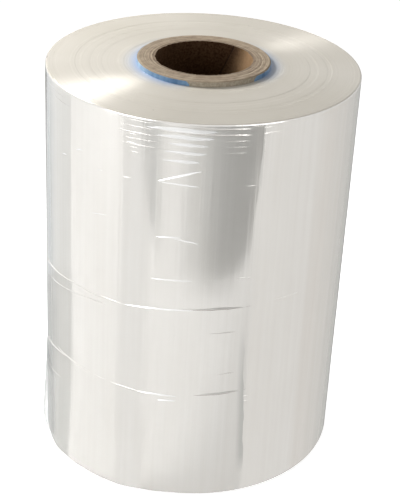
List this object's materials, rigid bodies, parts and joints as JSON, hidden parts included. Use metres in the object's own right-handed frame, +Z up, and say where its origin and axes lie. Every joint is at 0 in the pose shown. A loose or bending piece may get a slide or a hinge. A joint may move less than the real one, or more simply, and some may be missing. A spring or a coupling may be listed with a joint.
{
  "type": "stretch wrap roll",
  "caption": "Wide roll of clear stretch film wound on a thick paperboard core, standing on the core's end, with an open bore for a wrapping machine's spindle.",
  "frame": {"origin": "on the roll's axis at the foot of the core, on which the roll stands", "axes": "+Z up along the roll's axis and the core's bore, +X to the right seen from the front, and the creased front faces -Y"},
  "size_m": [0.2502, 0.2468, 0.334],
  "materials": {
    "core_board": "matte",
    "start_tape": "satin",
    "stretch_film": "gloss"
  },
  "bodies": {
    "root": {"core_tube": "core_board", "core_tape": "start_tape", "film_winding": "stretch_film"}
  },
  "joints": []
}
